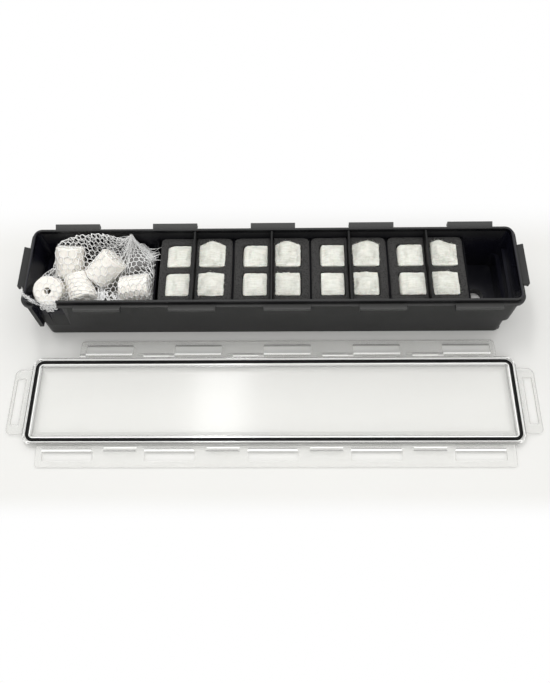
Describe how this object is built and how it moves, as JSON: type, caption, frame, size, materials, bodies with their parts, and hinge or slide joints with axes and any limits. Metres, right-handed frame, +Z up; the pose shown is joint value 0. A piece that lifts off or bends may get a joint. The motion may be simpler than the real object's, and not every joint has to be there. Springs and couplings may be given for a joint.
{
  "type": "overhead trickle filter box",
  "caption": "Long, flat aquarium filter box with upright baffles, sponge and floss cassettes, a net bag of ceramic rings, and a clear snap lid laid upside down beside it.",
  "frame": {"origin": "centre of the tub's base, on the surface that the tub stands on", "axes": "+X along the tub, from the bag's room to the outlet room; +Y from the front wall with the inlet notch to the back wall; +Z up"},
  "size_m": [0.5374, 0.24, 0.0774],
  "materials": {
    "tub_plastic": "satin",
    "baffle_plastic": "satin",
    "filter_sponge": "open foam",
    "floss": "soft fibre",
    "net": "woven net",
    "ceramic": "dull fired",
    "clear_plastic": "clear, lightly frosted",
    "gasket_rubber": "matte"
  },
  "bodies": {
    "tub": {"tub": "tub_plastic", "weir_1": "baffle_plastic", "weir_2": "baffle_plastic", "weir_3": "baffle_plastic", "weir_4": "baffle_plastic", "weir_5": "baffle_plastic", "baffle_1": "baffle_plastic", "baffle_2": "baffle_plastic", "baffle_3": "baffle_plastic", "baffle_4": "baffle_plastic"},
    "cassette_1_left": {"sponge_1_left": "filter_sponge", "floss_1_left_front": "floss", "floss_1_left_back": "floss"},
    "cassette_1_right": {"sponge_1_right": "filter_sponge", "floss_1_right_front": "floss", "floss_1_right_back": "floss"},
    "cassette_2_left": {"sponge_2_left": "filter_sponge", "floss_2_left_front": "floss", "floss_2_left_back": "floss"},
    "cassette_2_right": {"sponge_2_right": "filter_sponge", "floss_2_right_front": "floss", "floss_2_right_back": "floss"},
    "cassette_3_left": {"sponge_3_left": "filter_sponge", "floss_3_left_front": "floss", "floss_3_left_back": "floss"},
    "cassette_3_right": {"sponge_3_right": "filter_sponge", "floss_3_right_front": "floss", "floss_3_right_back": "floss"},
    "cassette_4_left": {"sponge_4_left": "filter_sponge", "floss_4_left_front": "floss", "floss_4_left_back": "floss"},
    "cassette_4_right": {"sponge_4_right": "filter_sponge", "floss_4_right_front": "floss", "floss_4_right_back": "floss"},
    "ring_bag": {"ring_bag": "net", "ring_front_left": "ceramic", "ring_back_left": "ceramic", "ring_front": "ceramic", "ring_middle": "ceramic", "ring_front_right": "ceramic", "ring_back_right": "ceramic", "ring_low_1_front": "ceramic", "ring_low_1_back": "ceramic", "ring_low_2_front": "ceramic", "ring_low_2_back": "ceramic", "ring_low_3_front": "ceramic", "ring_low_3_back": "ceramic", "ring_low_4_front": "ceramic", "ring_low_4_back": "ceramic"},
    "lid": {"lid": "clear_plastic", "lid_gasket": "gasket_rubber"},
    "flap_front": {"flap_front": "clear_plastic"},
    "flap_back": {"flap_back": "clear_plastic"},
    "flap_left": {"flap_left": "clear_plastic"},
    "flap_right": {"flap_right": "clear_plastic"}
  },
  "joints": [
    {"name": "lid_turn", "type": "hinge", "parent": "tub", "child": "lid", "pos_m": [0, -0.06, 0.04015], "axis": [1, 0, 0], "range_deg": [-180, 0]},
    {"name": "flap_front_hinge", "type": "hinge", "parent": "lid", "child": "flap_front", "pos_m": [0, -0.0719, 0.004], "axis": [-1, 0, 0], "range_deg": [-98.85, 0]},
    {"name": "flap_back_hinge", "type": "hinge", "parent": "lid", "child": "flap_back", "pos_m": [0, -0.1681, 0.004], "axis": [1, 0, 0], "range_deg": [-98.85, 0]},
    {"name": "flap_left_hinge", "type": "hinge", "parent": "lid", "child": "flap_left", "pos_m": [-0.2509, -0.12, 0.004], "axis": [0, -1, 0], "range_deg": [-100.24, 0]},
    {"name": "flap_right_hinge", "type": "hinge", "parent": "lid", "child": "flap_right", "pos_m": [0.2509, -0.12, 0.004], "axis": [0, 1, 0], "range_deg": [-100.24, 0]},
    {"name": "cassette_1_left_lift", "type": "slide", "parent": "tub", "child": "cassette_1_left", "axis": [0, 0, 1], "range_m": [0, 0.07]},
    {"name": "cassette_1_right_lift", "type": "slide", "parent": "tub", "child": "cassette_1_right", "axis": [0, 0, 1], "range_m": [0, 0.07]},
    {"name": "cassette_2_left_lift", "type": "slide", "parent": "tub", "child": "cassette_2_left", "axis": [0, 0, 1], "range_m": [0, 0.07]},
    {"name": "cassette_2_right_lift", "type": "slide", "parent": "tub", "child": "cassette_2_right", "axis": [0, 0, 1], "range_m": [0, 0.07]},
    {"name": "cassette_3_left_lift", "type": "slide", "parent": "tub", "child": "cassette_3_left", "axis": [0, 0, 1], "range_m": [0, 0.07]},
    {"name": "cassette_3_right_lift", "type": "slide", "parent": "tub", "child": "cassette_3_right", "axis": [0, 0, 1], "range_m": [0, 0.07]},
    {"name": "cassette_4_left_lift", "type": "slide", "parent": "tub", "child": "cassette_4_left", "axis": [0, 0, 1], "range_m": [0, 0.07]},
    {"name": "cassette_4_right_lift", "type": "slide", "parent": "tub", "child": "cassette_4_right", "axis": [0, 0, 1], "range_m": [0, 0.07]},
    {"name": "ring_bag_lift", "type": "slide", "parent": "tub", "child": "ring_bag", "axis": [0, 0, 1], "range_m": [0, 0.07]}
  ]
}
